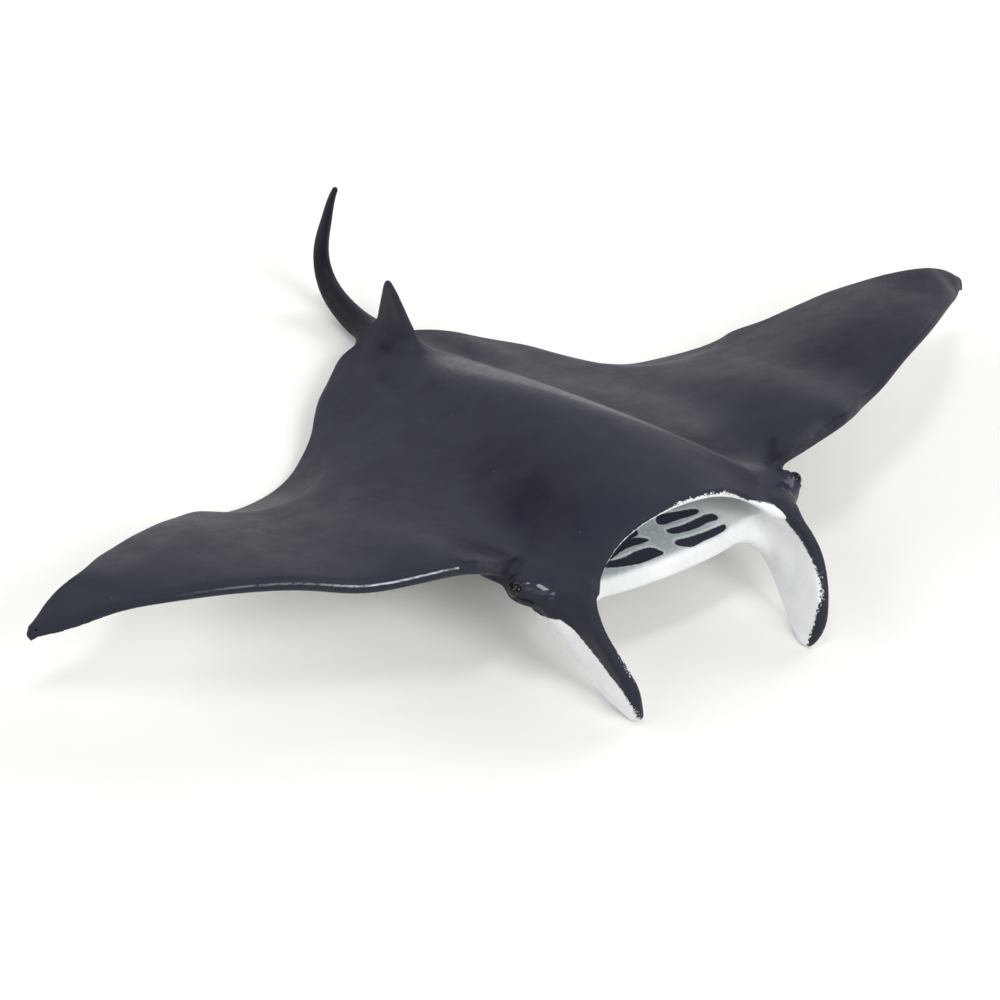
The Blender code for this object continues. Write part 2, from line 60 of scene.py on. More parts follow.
# ------------------------------------------------------------------ small tools
def curve(stations, values):
    """Natural cubic curve through a value at each station."""
    x = np.asarray(stations, float)
    y = np.asarray(values, float)
    n = len(x)
    h = np.diff(x)
    a = np.zeros((n, n))
    r = np.zeros(n)
    a[0, 0] = a[-1, -1] = 1
    for i in range(1, n - 1):
        a[i, i - 1], a[i, i], a[i, i + 1] = h[i - 1], 2 * (h[i - 1] + h[i]), h[i]
        r[i] = 6 * ((y[i + 1] - y[i]) / h[i] - (y[i] - y[i - 1]) / h[i - 1])
    m = np.linalg.solve(a, r)

    q = np.linspace(x[0], x[-1], int((x[-1] - x[0]) / 0.02) + 2)
    i = np.clip(np.searchsorted(x, q) - 1, 0, n - 2)
    u = (x[i + 1] - q) / h[i]
    v = (q - x[i]) / h[i]
    table = (u * y[i] + v * y[i + 1]
             + ((u ** 3 - u) * m[i] + (v ** 3 - v) * m[i + 1]) * h[i] ** 2 / 6)
    return lambda at: np.interp(at, q, table)


def join(a, b, k):
    """Union of two bodies with a fillet of size k."""
    h = np.clip(0.5 + 0.5 * (b - a) / k, 0, 1)
    return b * (1 - h) + a * h - k * h * (1 - h)


def common(a, b, k):
    """Common part of two bodies, its edge rounded by k."""
    return -join(-a, -b, k)


def ease(t):
    t = np.clip(t, 0, 1)
    return t * t * (3 - 2 * t)


def rounded_loop(corners, n):
    """Closed outline that passes smoothly through its corners."""
    p = np.asarray(corners, float)
    out = []
    for i in range(len(p)):
        a, b, c, d = p[i - 1], p[i], p[(i + 1) % len(p)], p[(i + 2) % len(p)]
        for t in np.arange(n) / n:
            out.append(0.5 * (2 * b + (c - a) * t + (2 * a - 5 * b + 4 * c - d) * t * t
                              + (3 * b - a - 3 * c + d) * t ** 3))
    return np.array(out)


def inside_outline(px, py, loop):
    """Distance to an outline, negative inside it."""
    d = np.full(np.broadcast(px, py).shape, 1e9)
    s = np.zeros(d.shape, bool)
    for i in range(len(loop)):
        (ax, ay), (bx, by) = loop[i - 1], loop[i]
        ex, ey, wx, wy = bx - ax, by - ay, px - ax, py - ay
        t = np.clip((wx * ex + wy * ey) / (ex * ex + ey * ey), 0, 1)
        d = np.minimum(d, (wx - ex * t) ** 2 + (wy - ey * t) ** 2)
        if ey != 0:
            s ^= (((ay <= py) & (by > py)) | ((by <= py) & (ay > py))) \
                & (px < ax + (py - ay) * ex / ey)
    d = np.sqrt(d)
    return np.where(s, -d, d)


# ------------------------------------------------------------------ wings
# Front and rear edge of a wing, and the height of each, by distance from the midline.
FRONT_EDGE = curve([0, 16, 24, 28, 32, 35, 38, 41, 44, 50, 56, 62, 68, 74, 80, 84, 87, 89, 90],
                   [22, 24, 27, 28.6, 30.3, 31.2, 30.4, 28.6, 26.4, 24.1, 22.2, 20.0, 16.9, 12.8, 8.15, 4.2, 1.65, 0.0, -0.7])
FRONT_LEVEL = curve([0, 16, 24, 28, 32, 35, 38, 41, 44, 50, 56, 62, 68, 74, 80, 84, 87, 89, 90],
                    [-2.4, -2.4, -1.6, 0.0, 2.3, 3.8, 4.0, 3.4, 2.6, 3.0, 4.8, 5.9, 6.0, 5.2, 3.5, 1.15, 0.25, -0.1, -0.4])
REAR_EDGE = curve([0, 4, 8, 12, 16, 20, 24, 28, 32, 36, 44, 52, 60, 68, 76, 80, 84, 87, 89, 90],
                  [-47.6, -47.8, -46.3, -42.8, -39.3, -35, -31.2, -28.1, -25.6, -24.4, -20.9, -17.8, -14.5, -10.7, -5.3, -1.7, -1.2, -1.25, -1.2, -1.3])
REAR_LEVEL = curve([0, 4, 8, 12, 16, 20, 24, 28, 32, 36, 40, 44, 48, 52, 56, 60, 64, 68, 72, 76, 80, 84, 87, 89, 90],
                   [0.5, 0.6, 0.7, 0.4, -1.0, -2.2, -3.6, -5.0, -6.0, -6.8, -6.5, -5.7, -4.6, -3.1, -1.8, -0.3, 0.9, 2.0, 2.9, 4.3, 5.4, 4.35, 2.5, 0.8, 0.05])
HALF_THICK = curve([0, 10, 20, 30, 40, 50, 60, 70, 80, 86, 88.5, 90],
                   [2.6, 2.6, 2.7, 2.7, 2.5, 2.1, 1.75, 1.45, 1.15, 0.95, 0.85, 0.75])
CAMBER = curve([0, 25, 40, 60, 80, 90],
               [0.0, 0.6, 1.0, 0.8, 0.3, 0.0])


def wing(a, f, z):
    lead, trail, zl, zt = FRONT_EDGE(a), REAR_EDGE(a), FRONT_LEVEL(a), REAR_LEVEL(a)
    chord = np.maximum(lead - trail, 0.3)
    sweep_l = (FRONT_EDGE(a + .25) - FRONT_EDGE(a - .25)) / .5
    sweep_t = (REAR_EDGE(a + .25) - REAR_EDGE(a - .25)) / .5
    s = np.clip((lead - f) / chord, 0, 1)
    out = np.maximum((f - lead) / np.sqrt(1 + sweep_l ** 2),
                     (trail - f) / np.sqrt(1 + sweep_t ** 2))
    out = np.maximum(out, a - HALF)
    r = EDGE_REAR + (EDGE_FRONT - EDGE_REAR) * (1 - s) ** 2
    mid = zl + (zt - zl) * s + CAMBER(a) * 4 * s * (1 - s)
    half = r + (np.maximum(HALF_THICK(a), r) - r) * 2.6 * np.sqrt(s) * (1 - s)
    n = (z - mid) / np.sqrt(1 + ((zl - zt) / chord) ** 2)
    return np.sqrt(np.maximum(out + r, 0) ** 2 + n ** 2) - half


# ------------------------------------------------------------------ trunk and head
# A bell-shaped back over a flat belly, by stations along the body.
STATIONS = [-52, -48, -44, -38, -34, -30, -20, -10, 0, 10, 20, 26, 31, 36, 40]
RIDGE = curve(STATIONS,
              [1.0, 1.7, 2.6, 3.9, 4.7, 5.5, 7.1, 8.4, 9.1, 9.0, 8.0, 6.95, 5.8, 4.3, 3.2])
FOOT = curve(STATIONS,
             [-2, -2, -2, -2, -2, -2, -2.2, -2.4, -2.6, -3, -4, -5.5, -6.5, -7.0, -7.5])
BACK_WIDE = curve(STATIONS,
                  [5, 5.5, 6, 6, 6, 6, 7.2, 9.4, 12.4, 15.6, 18.8, 20.8, 20.6, 18.1, 17.0])
BACK_POWER = curve(STATIONS,
                   [2, 2, 2, 2, 2, 2, 2, 2.1, 2.2, 2.4, 2.6, 2.7, 2.8, 2.8, 2.8])
KEEL = curve(STATIONS,
             [0.0, -0.6, -1.2, -2.1, -2.7, -3.4, -5.2, -6.9, -8.2, -9.2, -9.8, -9.8, -9.4, -8.6, -8.2])
BELLY_WIDE = curve(STATIONS,
                   [6, 7.5, 9, 11, 12.5, 14, 17, 20, 22.5, 25, 26.6, 26.6, 26.0, 22.5, 20])
HOOD_FRONT = curve([0, 8, 13, 16, 18, 20, 22, 24, 26, 28, 31, 36],
                   [35.6, 35.7, 36.0, 37.2, 38.4, 38.2, 36.8, 35.0, 33.0, 30.6, 27, 22])
JAW_FRONT = curve([0, 8, 12, 16, 20, 26, 30],
                  [34.8, 34.2, 33.5, 32.8, 32.0, 30, 28])


def back(a, f):
    a = np.abs(a)
    return FOOT(f) + (RIDGE(f) - FOOT(f)) * np.exp(-(a / BACK_WIDE(f)) ** BACK_POWER(f))


def belly(a, f):
    a = np.abs(a)
    return -1.0 + (KEEL(f) + 1.0) * np.exp(-(a / BELLY_WIDE(f)) ** 5)


def trunk(a, f, z):
    e = .3
    zt, zb = back(a, f), belly(a, f)
    sx = (back(a + e, f) - back(a - e, f)) / (2 * e)
    sf = (back(a, f + e) - back(a, f - e)) / (2 * e)
    bx = (belly(a + e, f) - belly(a - e, f)) / (2 * e)
    d = common((z - zt) / np.sqrt(1 + sx * sx + sf * sf), (zb - z) / np.sqrt(1 + bx * bx), 1.6)
    soft = 3.2 * ease((np.abs(a) - 17.5) / 3)       # the lip fades into the cheek
    lip = JAW_FRONT(a) + (HOOD_FRONT(a) - JAW_FRONT(a)) * ease((z + 5.6 + soft) / (2.2 + 2 * soft))
    d = common(d, (f - lip) * 0.9, 1.0)
    return common(d, -49.5 - f, 1.5)


def mouth(a, f, z):
    e = .3
    roof = back(a, f) - LIP_SHELL - 0.10 * (36 - f)
    sx = (back(a + e, f) - back(a - e, f)) / (2 * e)
    floor = -5.5 + 0.22 * (34.5 - f) + 0.004 * np.maximum(a - 8, 0) ** 2
    d = common((z - roof) / np.sqrt(1 + sx * sx), floor - z, 1.2)
    d = common(d, a - (16.9 - 0.004 * (36 - f) ** 2), 2.0)
    return common(d, (MOUTH_DEEP_TO + 0.012 * a * a) - f, 3.0)


# ------------------------------------------------------------------ fins, tail, eyes
# Outlines in the midline plane, as (F, z); the tail also has its radius at each point.
CEPHALIC = rounded_loop([(33.5, -3.0), (36.7, -1.9), (38.9, -2.9), (41.7, -6), (44.9, -10), (47.1, -14), (47.8, -18), (46.8, -21.6), (45.1, -22.75), (42.3, -21.9), (38.9, -19.8), (34.6, -16.2), (31.0, -13.6), (28, -11.2), (25.5, -8), (28, -4.5)], 4)
CEPHALIC_AT = curve([-22, -20, -16, -12, -8, -4, 0, 4],
                    [16.6, 17.4, 18.25, 19.3, 20.0, 19.4, 18.4, 17.6])
DORSAL = rounded_loop([(-32.6, 3.2), (-34.2, 4.9), (-37.2, 8.4), (-40.2, 12.2), (-42.3, 13.9), (-43.3, 13.2), (-44.0, 11.6), (-45.0, 9.0), (-46.1, 6), (-47.6, 2.4), (-46, 0), (-36, 0)], 4)
TAIL_LINE = [(-44, 2.2, 2.5), (-48.5, 2.15, 2.4), (-53, 2.35, 2.3), (-57.6, 3.5, 2.1), (-61.9, 6.0, 1.8), (-63.7, 9.5, 1.5), (-63.2, 14, 1.25), (-60.9, 19, 0.95), (-58.2, 24.2, 0.6), (-57.2, 25.6, 0.5)]
along = np.r_[0, np.cumsum(np.hypot(*np.diff(np.array(TAIL_LINE)[:, :2], axis=0).T))]
TAIL = np.stack([curve(along, [p[k] for p in TAIL_LINE])(np.linspace(0, along[-1], 26))
                 for k in range(3)], 1)


def cephalic_fin(a, f, z):
    half = 0.5 + 0.65 * np.clip((f - 27) / 20, 0, 1)
    n = a - (CEPHALIC_AT(z) - 0.07 * (f - 45) * ease((-z - 2) / 8))
    return np.sqrt(np.maximum(inside_outline(f, z, CEPHALIC) + half, 0) ** 2 + n ** 2) - half


def dorsal_fin(a, f, z):
    half = 0.5 + 0.45 * np.clip((13 - z) / 10, 0, 1)
    return np.sqrt(np.maximum(inside_outline(f, z, DORSAL) + half, 0) ** 2 + a ** 2) - half


def tail(a, f, z):
    d = np.full(np.broadcast(a, f, z).shape, 1e9)
    for p, q in zip(TAIL[:-1], TAIL[1:]):
        ex, ey, wx, wy = q[0] - p[0], q[1] - p[1], f - p[0], z - p[1]
        t = np.clip((wx * ex + wy * ey) / (ex * ex + ey * ey), 0, 1)
        d = np.minimum(d, np.sqrt((wx - ex * t) ** 2 + (wy - ey * t) ** 2 + a * a)
                       - (p[2] + (q[2] - p[2]) * t))
    return d


def rod(a, f, z, p, q, rp, rq):
    """A round-ended rod from p to q whose radius changes along it."""
    e = np.subtract(q, p)
    t = np.clip(((a - p[0]) * e[0] + (f - p[1]) * e[1] + (z - p[2]) * e[2]) / (e @ e), 0, 1)
    return np.sqrt((a - p[0] - e[0] * t) ** 2 + (f - p[1] - e[1] * t) ** 2
                   + (z - p[2] - e[2] * t) ** 2) - (rp + (rq - rp) * t)


MOUND = (24.6, 30.2, -4.05)
CHEEK = [(MOUND, (20.8, 33.8, -8.0), 1.7, 1.0), ((20.8, 33.8, -8.0), (19.2, 37.6, -13.5), 1.0, 0.4),
         (MOUND, (19.7, 36.2, -4.9), 1.7, 1.3), ((21.9, 29.2, -3.1), (19.2, 35.8, -3.4), 1.3, 1.3),
         ((14.5, 30.8, -7.0), (18.8, 32.2, -10.4), 1.7, 2.0)]


def cheek(a, f, z):
    """The mound that the eye sits in, and the flesh from it to the fin and the jaw."""
    d = rod(a, f, z, *CHEEK[0])
    for piece in CHEEK[1:]:
        d = join(d, rod(a, f, z, *piece), 2.0)
    return d


def near(d, where, rule):
    """Change d by rule only where it can matter."""
    d = d.copy()
    d[where] = rule(d[where], where)
    return d


def body(x, f, z):
    """Negative inside the whole animal; the costly parts only where they matter."""
    a = np.abs(x)
    d = join(wing(a, f, z), trunk(a, f, z), 3.0)

    def front(b, m):
        p, q, r = a[m], f[m], z[m]
        b = join(join(b, cheek(p, q, r), 2.5), cephalic_fin(p, q, r), 3.0)
        return common(b, -mouth(p, q, r), 0.9)

    def rear(b, m):
        p, q, r = a[m], f[m], z[m]
        return join(join(b, dorsal_fin(p, q, r), 1.6), tail(p, q, r), 2.2)

    d = near(d, (a < 36) & (f > 8), front)
    return near(d, (a < 9) & (f < -25), rear)


def along_line(px, py, line):
    """Signed distance to an open line of points; positive on its right-hand side."""
    best = np.full(px.shape, 1e9)
    out = np.zeros(px.shape)
    for (ax, ay), (bx, by) in zip(line[:-1], line[1:]):
        ex, ey, wx, wy = bx - ax, by - ay, px - ax, py - ay
        t = np.clip((wx * ex + wy * ey) / (ex * ex + ey * ey), 0, 1)
        d = np.hypot(wx - ex * t, wy - ey * t)
        s = np.sign(ey * wx - ex * wy)
        pick = d < best
        best = np.where(pick, d, best)
        out = np.where(pick, d * s, out)
    return out


# ------------------------------------------------------------------ small relief
# Dark bars across the floor of the mouth, as outlines in (x, F), three on each side.
GILL_BARS = [rounded_loop(p, 4) for p in (
    [(2.9, 25.9), (3.8, 25.4), (6.8, 26.2), (9.4, 27.0), (9.7, 27.8), (8.7, 28.2), (6.3, 28.0), (3.0, 27.75), (2.3, 27.3), (2.35, 26.5)],
    [(2.35, 29.0), (3.2, 28.9), (5.4, 29.1), (8.4, 29.0), (10.35, 29.0), (11.15, 29.4), (11.3, 30.3), (10.8, 30.8), (9.0, 30.7), (6.6, 30.9), (3.8, 30.55), (2.5, 29.95)],
    [(1.9, 31.7), (2.55, 31.55), (4.7, 31.95), (7.9, 32.1), (10.8, 32.15), (10.95, 32.7), (10.35, 33.3), (8.1, 33.65), (5.6, 33.8), (3.5, 34.0), (2.2, 33.25), (1.6, 32.4)],
    [(-8.8, 27.0), (-6.0, 26.4), (-2.4, 26.4), (-1.5, 26.6), (-1.7, 27.4), (-2.4, 27.8), (-5.0, 28.0), (-8.2, 28.0)],
    [(-10.6, 29.3), (-8.0, 28.6), (-5.5, 27.95), (-3.4, 27.9), (-2.1, 28.4), (-1.2, 29.4), (-2.3, 29.7), (-4.3, 29.5), (-6.4, 29.6), (-8.6, 30.2), (-10.4, 30.3)],
    [(-11.7, 30.9), (-10.3, 30.3), (-7.6, 30.8), (-3.9, 30.6), (-2.4, 30.9), (-1.6, 31.65), (-1.25, 33.1), (-3.0, 33.3), (-5.4, 33.3), (-7.8, 32.75), (-10.0, 32.0)])]


def bars(x, f):
    d = np.full(x.shape, 1e9)
    for loop in GILL_BARS:
        d = np.minimum(d, inside_outline(x, f, loop))
    return d


def line_distance(x, f, z, pts):
    d = np.full(x.shape, 1e9)
    for p, q in zip(pts[:-1], pts[1:]):
        e = np.subtract(q, p)
        w = np.stack([x - p[0], f - p[1], z - p[2]])
        t = np.clip((w * e[:, None]).sum(0) / (e @ e), 0, 1)
        d = np.minimum(d, np.sqrt(((w - e[:, None] * t) ** 2).sum(0)))
    return d


# Creases round the eye: over it, its short branch, along the wing's root, and a slit below.
BROW = [(30.2, 29.3, 2.2), (29.3, 29.05, 1.3), (27.8, 28.5, -0.15), (26.6, 28.0, -1.3), (26.1, 28.3, -2.1)]
BRANCH = [(26.0, 28.5, -2.1), (25.8, 28.65, -1.9), (25.2, 28.8, -1.65), (24.8, 29.05, -1.6)]
ROOT = [(36.5, 31.0, 4.9), (34.4, 30.9, 4.55), (33.4, 30.6, 4.05), (32.2, 30.2, 3.3), (31.2, 29.8, 2.5)]
SLIT = [(26.45, 31.95, -4.45), (26.05, 32.3, -4.6), (25.6, 32.65, -4.8), (25.25, 32.9, -5.1)]


def relief(x, f, z):
    """The body with its fine relief."""
    d = body(x, f, z)
    a = np.abs(x)

    def head(b, m):
        p, q, r, xx = a[m], f[m], z[m], x[m]
        e = np.sqrt((p - EYE_AT[0]) ** 2 + (q - EYE_AT[1]) ** 2 + (r - EYE_AT[2]) ** 2)
        b = join(b, np.abs(e - EYE_RADIUS - 0.14) - 0.16, 0.5)       # lid
        b = common(b, EYE_RADIUS + 0.03 - e, 0.10)                   # room for the eye
        b = common(b, 0.26 - line_distance(p, q, r, SLIT), 0.12)
        b = common(b, 0.22 - line_distance(p, q, r, BROW), 0.35)
        return common(b, 0.14 - line_distance(p, q, r, BRANCH), 0.30)

    d = near(d, (a > 21) & (a < 31) & (f > 25) & (f < 36) & (z < 2) & (z > -9), head)

    def floor(b, m):
        s = bars(x[m], f[m])
        return b + 0.22 * ease(-s / 0.25 + 0.5)

    return near(d, (a < 13) & (f > 24) & (f < 34.4) & (z < -2.6) & (z > -6.2), floor)


# ------------------------------------------------------------------ surface
def sampled_body():
    h = GRID
    xs = (np.arange(int(round((HALF + 2.5) / h))) + 0.5) * h
    fs = np.arange(-68, 51 + h, h)
    zs = np.arange(-24, 28 + h, h)
    a, f, z = xs[:, None, None], fs[None, :, None], zs[None, None, :]
    v = np.array(join(wing(a, f, z), trunk(a, f, z), 3.0))

    def refine(x1, f0, f1, rule):
        i = int((xs < x1).sum())
        j0, j1 = int((fs <= f0).sum()), int((fs < f1).sum())
        v[:i, j0:j1] = rule(v[:i, j0:j1], a[:i], f[:, j0:j1], z)

    refine(36, 8, 52, lambda b, p, q, r: common(
        join(join(b, cheek(p, q, r), 2.5), cephalic_fin(p, q, r), 3.0), -mouth(p, q, r), 0.9))
    refine(9, -70, -25, lambda b, p, q, r: join(
        join(b, dorsal_fin(p, q, r), 1.6), tail(p, q, r), 2.2))
    return np.concatenate([v[::-1], v]), np.concatenate([-xs[::-1], xs]), fs, zs


def settle(v):
    """Where the grid is too coarse to tell which way a thin edge joins, join it."""
    for _ in range(8):
        changed = 0
        for p, q in ((0, 1), (0, 2), (1, 2)):
            w = np.moveaxis(v, (p, q), (0, 1))
            c = {(i, j): w[i:w.shape[0] - 1 + i, j:w.shape[1] - 1 + j]
                 for i in (0, 1) for j in (0, 1)}
            for u in ((0, 0), (0, 1)):
                opposite = (1 - u[0], 1 - u[1])
                m, n = (1 - u[0], u[1]), (u[0], 1 - u[1])
                bad = (c[u] < 0) & (c[opposite] < 0) & (c[m] >= 0) & (c[n] >= 0)
                first = bad & (c[m] <= c[n])
                c[m][first] = -0.05
                c[n][bad & ~first & (c[n] >= 0)] = -0.05
                changed += int(bad.sum())
        if not changed:
            return


def gradient(rule, p, e=0.02):
    x, f, z = p.T
    return np.stack([rule(x + e, f, z) - rule(x - e, f, z),
                     rule(x, f + e, z) - rule(x, f - e, z),
                     rule(x, f, z + e) - rule(x, f, z - e)], 1) / (2 * e)


def draw_on(rule, p, passes, longest):
    """Move points onto the skin."""
    for _ in range(passes):
        g = gradient(rule, p)
        d = rule(*p.T)
        step = -(d / np.maximum((g ** 2).sum(1), 0.05))[:, None] * g
        size = np.linalg.norm(step, axis=1, keepdims=True)
        p = p + step * np.minimum(1, longest / np.maximum(size, 1e-9))
    return p


def skin(v, xs, fs, zs):
    settle(v)
    inside = v < 0
    nx, ny, nz = v.shape
    n_in = np.zeros((nx - 1, ny - 1, nz - 1), np.uint8)
    for i in (0, 1):
        for j in (0, 1):
            for k in (0, 1):
                n_in += inside[i:nx - 1 + i, j:ny - 1 + j, k:nz - 1 + k]
    cells = (n_in > 0) & (n_in < 8)
    number = np.full(cells.shape, -1, np.int64)
    number[cells] = np.arange(int(cells.sum()))
    ci, cj, ck = np.nonzero(cells)
    corners = [(i, j, k) for k in (0, 1) for j in (0, 1) for i in (0, 1)]
    edges = [(p, q) for p in range(8) for q in range(p + 1, 8)
             if sum(abs(s - t) for s, t in zip(corners[p], corners[q])) == 1]
    val = [v[ci + i, cj + j, ck + k] for i, j, k in corners]
    total, count = np.zeros((len(ci), 3)), np.zeros(len(ci))
    for p, q in edges:
        crossed = (val[p] < 0) != (val[q] < 0)
        t = np.where(crossed, val[p] / np.where(crossed, val[p] - val[q], 1), 0)
        a, b = np.array(corners[p]), np.array(corners[q])
        total += crossed[:, None] * (a + (b - a) * t[:, None])
        count += crossed
    pts = np.stack([xs[ci], fs[cj], zs[ck]], 1) + total / count[:, None] * GRID
    quads = []
    for axis, around in enumerate((((0, -1, -1), (0, 0, -1), (0, 0, 0), (0, -1, 0)),
                                   ((-1, 0, -1), (-1, 0, 0), (0, 0, 0), (0, 0, -1)),
                                   ((-1, -1, 0), (0, -1, 0), (0, 0, 0), (-1, 0, 0)))):
        here = [slice(1, -1)] * 3
        here[axis] = slice(0, -1)
        there = [slice(1, -1)] * 3
        there[axis] = slice(1, None)
        i, j, k = np.nonzero(inside[tuple(here)] != inside[tuple(there)])
        i, j, k = i + (axis != 0), j + (axis != 1), k + (axis != 2)
        ring = np.stack([number[i + s, j + t, k + u] for s, t, u in around], 1)
        flip = inside[i, j, k]
        ring[flip] = ring[flip][:, ::-1]
        quads.append(ring)
    return pts, np.concatenate(quads)


def finer(p, q):
    """Each quad becomes four."""
    n = len(p)
    pairs = np.stack([q, np.roll(q, -1, 1)], 2).reshape(-1, 2)
    pairs.sort(1)
    key, where = np.unique(pairs[:, 0] * n + pairs[:, 1], return_inverse=True)
    ends = np.stack([key // n, key % n], 1)
    mid = p[ends].mean(1)
    centre = p[q].mean(1)
    e = n + where.reshape(-1, 4)
    c = n + len(mid) + np.arange(len(q))
    out = np.stack([np.stack([q[:, i], e[:, i], c, e[:, i - 1]], 1) for i in range(4)], 1)
    return np.concatenate([p, mid, centre]), out.reshape(-1, 4)


def bend_wings(p):
    """The soft wings aren't bent quite alike at the rear hump."""
    a, s = np.abs(p[:, 0]), ease((10 - p[:, 1]) / 25)
    q = p.copy()
    q[:, 2] -= np.sign(p[:, 0]) * 1.25 * np.exp(-((a - 57) / 11.5) ** 2) * s
    q[:, 2] += np.sign(p[:, 0]) * 0.5 * ease((a - 82) / 8)
    return q


T = math.radians(NOSE_UP_DEG)


def turn(p):
    """A direction in the body frame, in the figure's frame."""
    x, f, z = p
    return Vector((x, -(f * math.cos(T) - z * math.sin(T)), f * math.sin(T) + z * math.cos(T)))


def place(p):
    p = np.atleast_2d(np.asarray(p, float))
    f = p[:, 1] * math.cos(T) - p[:, 2] * math.sin(T)
    z = p[:, 1] * math.sin(T) + p[:, 2] * math.cos(T)
    return np.stack([p[:, 0], -(f - FORWARD_SHIFT), z + REST_LIFT], 1) * MM


def make_mesh(name, p, q):
    mesh = bpy.data.meshes.new(name)
    mesh.vertices.add(len(p))
    mesh.vertices.foreach_set("co", p.astype(np.float32).ravel())
    mesh.loops.add(q.size)
    mesh.loops.foreach_set("vertex_index", q.astype(np.int32).ravel())
    mesh.polygons.add(len(q))
    mesh.polygons.foreach_set("loop_start", np.arange(0, q.size, 4, dtype=np.int32))
    mesh.update(calc_edges=True)
    mesh.validate()
    mesh.shade_smooth()
    ob = bpy.data.objects.new(name, mesh)
    bpy.context.scene.collection.objects.link(ob)
    return ob


def attribute(ob, name, values):
    at = ob.data.attributes.new(name, 'FLOAT', 'POINT')
    at.data.foreach_set("value", np.asarray(values, np.float32))


points, quads = skin(*sampled_body())
points = draw_on(body, points, 4, 0.5 * GRID)
points, quads = finer(points, quads)
points = draw_on(relief, points, 2, 0.25 * GRID)
normal = gradient(relief, points, 0.05)
normal /= np.maximum(np.linalg.norm(normal, axis=1, keepdims=True), 1e-9)
world = place(bend_wings(points))
world[:, 2] = np.maximum(world[:, 2], 0)       # the small flats it rests on
skin_ob = make_mesh("painted_skin", world, quads)

# ------------------------------------------------------------------ where the paint goes
# Each attribute is a length in millimetres from the edge of a painted area, positive
# inside it, so that the edge stays sharp however the skin is meshed.
X, F, Z = points.T
A = np.abs(X)
NZ = normal[:, 2]

# white: inside the mouth and over its rim, the lower jaw, the underside, the fins' faces
OUTER_LINE = [(16.0, -9.4), (26.0, -10.3), (29.5, -10.0), (31.6, -9.1), (33.6, -8.2), (35.3, -7.9), (37.6, -9.0), (39.2, -10.2), (40.9, -11.5),
              (42.4, -12.8), (43.6, -14.4), (45.0, -15.6), (46.3, -16.7), (47.1, -18.2), (47.2, -19.6), (46.9, -21.0),
              (46.4, -23.5)]
INNER_LINE = [(33.0, 4.0), (35.6, 0.0), (37.4, -2.3), (38.2, -3.7), (38.5, -5.2), (39.2, -6.4), (41.1, -7.9), (43.1, -9.2), (44.5, -10.4),
              (45.6, -11.6), (46.4, -13.0), (46.9, -14.4), (46.9, -16.0), (46.6, -18.0), (46.3, -20.0), (45.8, -23.5)]
d_trunk = join(trunk(A, F, Z), wing(A, F, Z), 3.0)
d_lobe = cephalic_fin(A, F, Z)
on_lobe = ease((d_trunk - d_lobe) / 2.4 + 0.5) * (F > 24) * (A < 25)
in_mouth = mouth(A, F, Z)
out = np.sign(X) * normal[:, 0]
speckled = ease((X + 5) / 5) * ease((13.5 - X) / 4)
rim = 0.30 + 0.58 * speckled
lip = np.minimum(rim - in_mouth, (0.30 - out * ease((A - 13) / 1.5)) * 4)
inset = np.minimum(np.where(A > 27, FRONT_EDGE(A) - F, 9), np.minimum(F - REAR_EDGE(A), HALF - A)) - 1.4
under = np.minimum(np.minimum((-0.30 - NZ) * 2.5, inset), F + 45.5)
under = np.where((A > 14) & (F > 23.5), np.minimum(under, (-7.8 - Z) * 0.8), under)
under = np.where((F < -28) & (Z > 1.2), -3, under)
jaw = np.minimum(np.minimum(-4.6 - Z, 17.2 - A), F - 22)
inner = np.where((A > 14) & (A < 22) & (F > 28), np.minimum(-3.6 - Z, (0.05 - out) * 3), -9)
root = np.where(X < 17, -0.8 - 0.47 * (X - 15.1), -1.7 - 1.25 * (X - 17)) - Z - 0.25
root = np.minimum(np.minimum(root, 18.6 - X), np.minimum(F - 35.0, X - 13))
lip = np.where((A > 17.6) & (Z > -2.2) & (F > 32), -2, lip)
w_trunk = np.maximum(np.maximum(np.maximum(np.maximum(np.where(F < 20, -9, lip), under), jaw), inner), root)
lobe_mid = CEPHALIC_AT(Z) - 0.07 * (F - 45) * ease((-Z - 2) / 8)
w_lobe = np.where(A > lobe_mid, along_line(F, Z, OUTER_LINE), along_line(F, Z, INNER_LINE))
w_lobe = np.where((A > 17.6) & (Z > -2.4) & (F < 38), -2, w_lobe)
white = w_trunk + (w_lobe - w_trunk) * on_lobe
attribute(skin_ob, "white", white)
# how far the brush strays at that edge: least at the lip, most on the fins' faces
attribute(skin_ob, "brush", 0.30 + 0.5 * on_lobe * ease((F - 37) / 3) + 0.38 * speckled * (1 - on_lobe) * (F > 30) * (Z > -3))

# dark bars on the mouth's floor
bar = np.full(len(X), -5.0)
on_floor = (in_mouth < 1.0) & (Z < -2.2) & (NZ > 0.2) & (F > 22) & (F < 34.9) & (A < 14)
bar[on_floor] = -bars(X[on_floor], F[on_floor])
attribute(skin_ob, "bar", bar)
# how grey the inside of the mouth is, fading at the lip and to the left
attribute(skin_ob, "mouth", ease((0.9 - in_mouth) / 0.9) * (F > 20) * (A < 19) * ease((34.6 - F) / 1.4) * (1 - 0.85 * ease((X - 6.5) / 5)))

